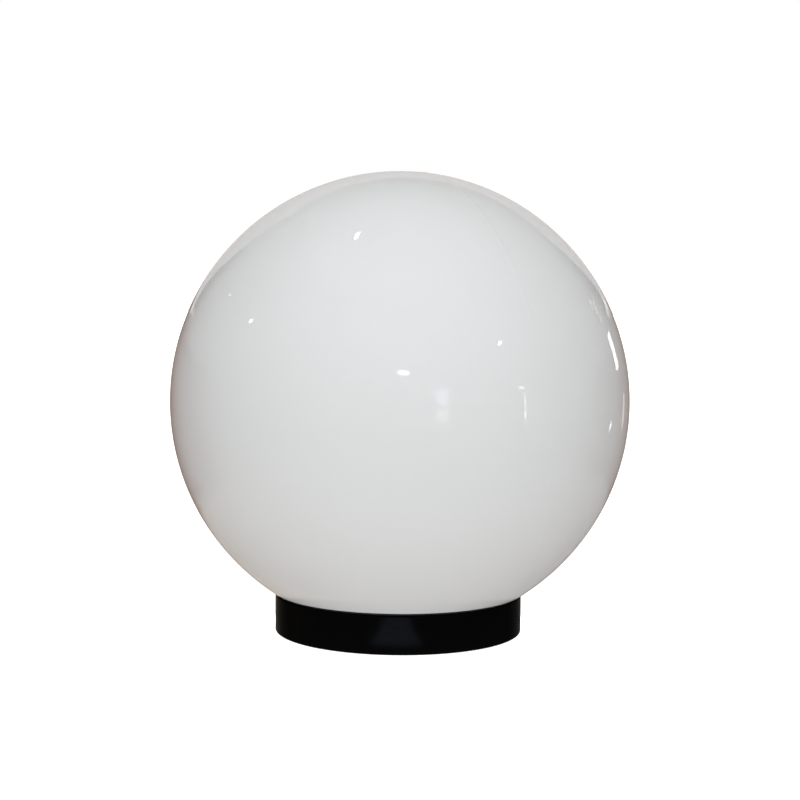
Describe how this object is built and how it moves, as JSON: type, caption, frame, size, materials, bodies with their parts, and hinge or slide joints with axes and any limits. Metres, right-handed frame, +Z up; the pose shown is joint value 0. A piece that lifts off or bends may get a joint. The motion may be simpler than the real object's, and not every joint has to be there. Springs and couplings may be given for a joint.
{
  "type": "globe light",
  "caption": "Outdoor globe light: a glossy opal ball on a low round black base, with a screw-in lamp, its holder and wiring inside; the ball lifts off and the lamp unscrews.",
  "frame": {"origin": "middle of the base's underside, where it stands or is fixed", "axes": "+Z up through the ball, -Y to the front"},
  "size_m": [0.3, 0.3, 0.302],
  "materials": {
    "opal_acrylic": "glossy opal white",
    "black_housing": "satin black, faintly grained",
    "black_rubber": "matte",
    "spring_steel": "bright rolled",
    "zinc_steel": "zinc plated",
    "porcelain": "glazed",
    "brass": "satin",
    "bronze": "satin",
    "nickel": "nickel plated",
    "black_glass": "glassy black",
    "solder": "dull",
    "white_plastic": "satin",
    "opal_dome": "frosted",
    "white_board": "solder mask",
    "phosphor": "matte",
    "green_board": "solder mask",
    "sleeve": "shrink sleeve",
    "copper": "bare copper",
    "black_epoxy": "matte",
    "nylon": "moulded",
    "brown_pvc": "satin",
    "blue_pvc": "satin",
    "green_yellow_pvc": "satin, with a yellow stripe"
  },
  "bodies": {
    "base": {"globe_seal": "black_rubber", "base_housing": "black_housing", "mounting_gasket": "black_rubber", "cable_grommet": "black_rubber", "spring_clips": "spring_steel", "clip_screws": "zinc_steel", "holder_bracket": "zinc_steel", "bracket_screws": "zinc_steel", "holder_body": "porcelain", "holder_screws": "zinc_steel", "holder_shell": "brass", "shell_rivets": "brass", "centre_contact": "bronze", "shell_contact": "bronze", "holder_terminals": "brass", "holder_terminal_screws": "zinc_steel", "terminal_block": "nylon", "terminal_tubes": "brass", "terminal_screws": "zinc_steel", "block_screw": "zinc_steel", "live_wire": "brown_pvc", "neutral_wire": "blue_pvc", "earth_wire": "green_yellow_pvc", "bare_ends": "copper", "earth_ring": "nickel", "earth_screw": "brass", "cord_clamp": "nylon", "clamp_screws": "zinc_steel"},
    "globe": {"globe": "opal_acrylic"},
    "lamp_tip": {"lamp_tip": "solder", "lamp_insulator": "black_glass"},
    "lamp": {"lamp_cap": "nickel", "lamp_housing": "white_plastic", "lamp_dome": "opal_dome", "led_board": "white_board", "led_chips": "phosphor", "driver_board": "green_board", "driver_capacitor": "sleeve", "driver_coil": "copper", "driver_chips": "black_epoxy"}
  },
  "joints": [
    {"name": "globe_lift", "type": "slide", "parent": "base", "child": "globe", "axis": [0, 0, 1], "range_m": [0, 0.18], "deforming": ["spring_clips"]},
    {"name": "lamp_rise", "type": "slide", "parent": "base", "child": "lamp_tip", "axis": [0, 0, 1], "range_m": [0, 0.0164]},
    {"name": "lamp_unscrew", "type": "hinge", "parent": "lamp_tip", "child": "lamp", "pos_m": [0, 0, 0.03], "axis": [0, 0, 1], "range_deg": [0, 1620]}
  ],
  "couplings": [
    {"joint": "lamp_rise", "follows": "lamp_unscrew", "m_per_rad": 0.00057757}
  ]
}
